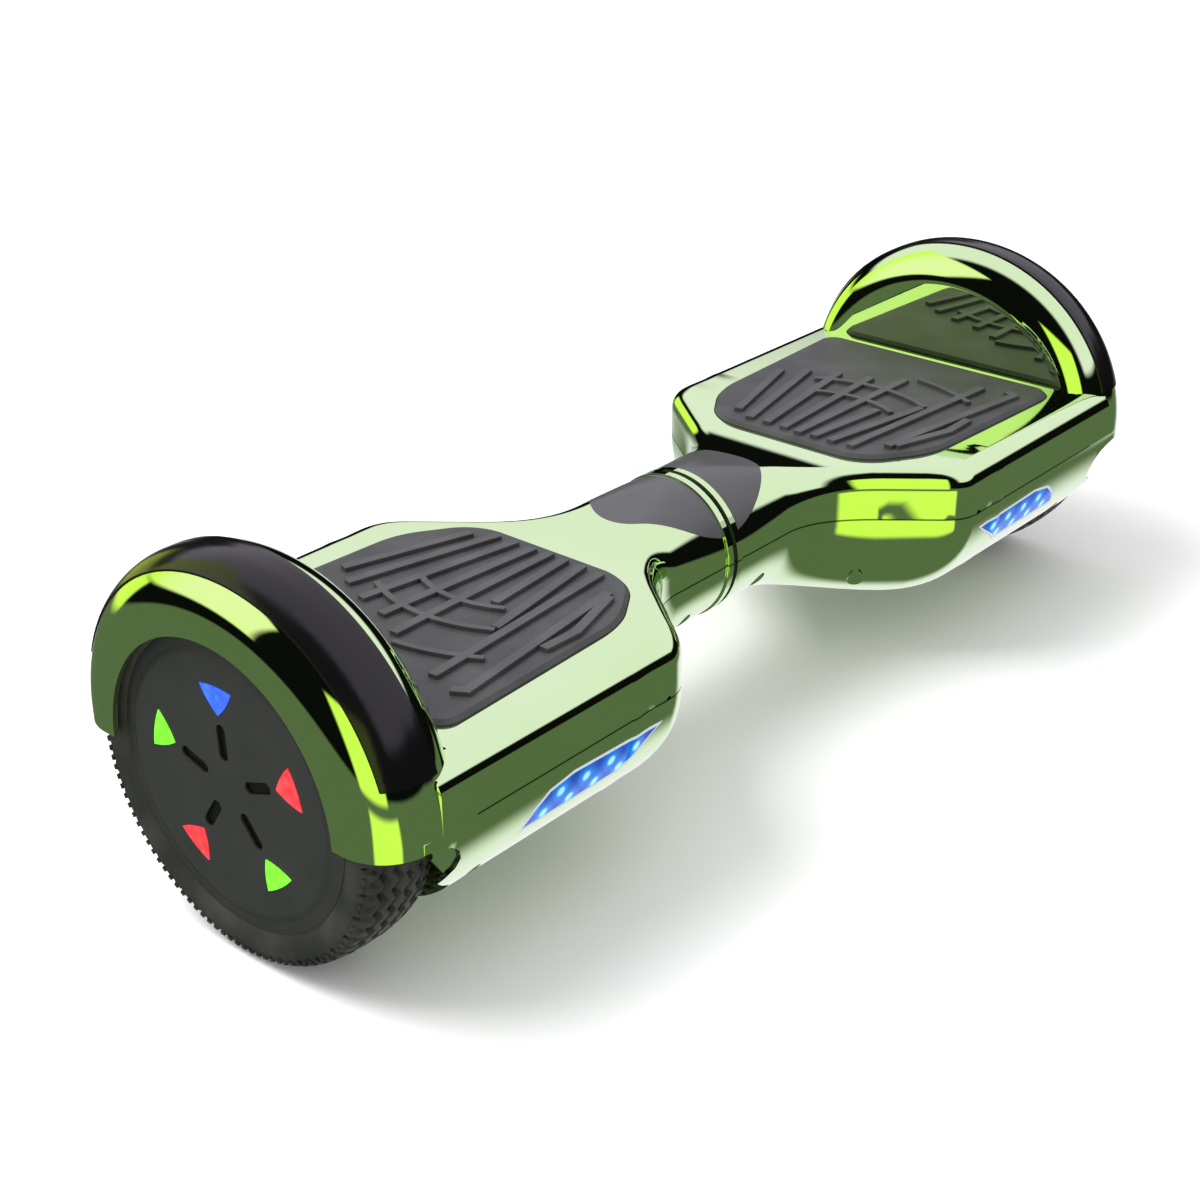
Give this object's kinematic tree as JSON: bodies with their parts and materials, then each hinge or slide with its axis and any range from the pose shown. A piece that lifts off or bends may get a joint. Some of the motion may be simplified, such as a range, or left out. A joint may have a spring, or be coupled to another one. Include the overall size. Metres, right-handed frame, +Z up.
{
  "type": "self-balancing two-wheeled board",
  "caption": "Two-wheeled self-balancing board in mirror chrome: twisting halves with foot pads, fenders, hub-motor wheels and front lamps.",
  "frame": {"origin": "on the floor, under the middle of the joint between the halves", "axes": "+X along the axle towards the right half, -Y towards the front lamps, +Z up"},
  "size_m": [0.584, 0.1977, 0.1797],
  "materials": {
    "chrome_shell": "moulded ABS, electroplated to a mirror with a pale green tint",
    "black_gloss": "gloss",
    "dark_trim": "satin",
    "lamp_lens": "tinted, lit from behind",
    "white_frame": "satin",
    "circuit_board": "lacquered",
    "cast_frame": "as cast",
    "rotor_iron": "machined and plated",
    "controller": "lacquered board with a bare heat sink",
    "button_plastic": "plated",
    "steel": "zinc plated",
    "motor_steel": "laminated, with enamelled windings",
    "tyre_rubber": "matt",
    "magnet": "nickel plated",
    "hub_plastic": "satin",
    "window_red": "tinted, lit from behind",
    "window_blue": "tinted, lit from behind",
    "window_green": "tinted, lit from behind",
    "pad_rubber": "matt",
    "bush_plastic": "natural",
    "seal_rubber": "matt",
    "harness": "braided sleeve",
    "battery_cells": "sleeved cells",
    "black_plastic": "satin",
    "cap_rubber": "matt"
  },
  "bodies": {
    "left_half": {"top_shell_left": "chrome_shell", "bottom_shell_left": "chrome_shell", "fender_strip_left": "black_gloss", "neck_trim_left": "dark_trim", "lamp_lens_left": "lamp_lens", "lamp_frame_left": "white_frame", "lamp_board_left": "circuit_board", "chassis_left": "cast_frame", "axle_clamp_left": "steel", "clamp_bolts_left": "steel", "sensor_board_left": "circuit_board", "shell_screws_left": "steel", "axle_left": "steel", "stator_left": "motor_steel", "pivot_tube": "steel", "pivot_retainers": "steel", "joint_seal": "seal_rubber", "cross_harness": "harness", "battery_pack": "battery_cells"},
    "right_half": {"top_shell_right": "chrome_shell", "bottom_shell_right": "chrome_shell", "fender_strip_right": "black_gloss", "neck_trim_right": "dark_trim", "lamp_lens_right": "lamp_lens", "lamp_frame_right": "white_frame", "lamp_board_right": "circuit_board", "chassis_right": "cast_frame", "axle_clamp_right": "steel", "clamp_bolts_right": "steel", "sensor_board_right": "circuit_board", "shell_screws_right": "steel", "axle_right": "steel", "stator_right": "motor_steel", "pivot_bushes": "bush_plastic", "motor_lead_right": "harness", "main_board": "controller", "charge_port": "black_plastic", "button_housing": "black_plastic"},
    "left_wheel": {"tyre_left": "tyre_rubber", "rotor_left": "rotor_iron", "inner_cover_left": "cast_frame", "bearings_left": "steel", "magnets_left": "magnet", "hub_cover_left": "hub_plastic", "window_red_left": "window_red", "window_blue_left": "window_blue", "window_green_left": "window_green"},
    "right_wheel": {"tyre_right": "tyre_rubber", "rotor_right": "rotor_iron", "inner_cover_right": "cast_frame", "bearings_right": "steel", "magnets_right": "magnet", "hub_cover_right": "hub_plastic", "window_red_right": "window_red", "window_blue_right": "window_blue", "window_green_right": "window_green"},
    "left_pad": {"foot_pad_left": "pad_rubber"},
    "right_pad": {"foot_pad_right": "pad_rubber"},
    "power_button": {"power_button": "button_plastic"},
    "charge_cap": {"charge_cap": "cap_rubber"}
  },
  "joints": [
    {"name": "centre_twist", "type": "hinge", "parent": "left_half", "child": "right_half", "pos_m": [0, 0, 0.088], "axis": [1, 0, 0], "range_deg": [-12, 12]},
    {"name": "left_wheel_spin", "type": "hinge", "parent": "left_half", "child": "left_wheel", "pos_m": [-0.268, 0, 0.0825], "axis": [1, 0, 0], "continuous": true},
    {"name": "right_wheel_spin", "type": "hinge", "parent": "right_half", "child": "right_wheel", "pos_m": [0.268, 0, 0.0825], "axis": [1, 0, 0], "continuous": true},
    {"name": "left_pad_press", "type": "slide", "parent": "left_half", "child": "left_pad", "axis": [0, 0, -1], "range_m": [0, 0.0015], "stiffness_N_per_m": 4000, "springref_m": -0.001},
    {"name": "right_pad_press", "type": "slide", "parent": "right_half", "child": "right_pad", "axis": [0, 0, -1], "range_m": [0, 0.0015], "stiffness_N_per_m": 4000, "springref_m": -0.001},
    {"name": "power_button_press", "type": "slide", "parent": "right_half", "child": "power_button", "axis": [0, -0.9171, 0.3987], "range_m": [0, 0.0015], "stiffness_N_per_m": 600, "springref_m": -0.001},
    {"name": "charge_cap_hinge", "type": "hinge", "parent": "right_half", "child": "charge_cap", "pos_m": [0.138, 0.099, 0.07731], "axis": [1, 0, 0], "range_deg": [0, 110]}
  ]
}
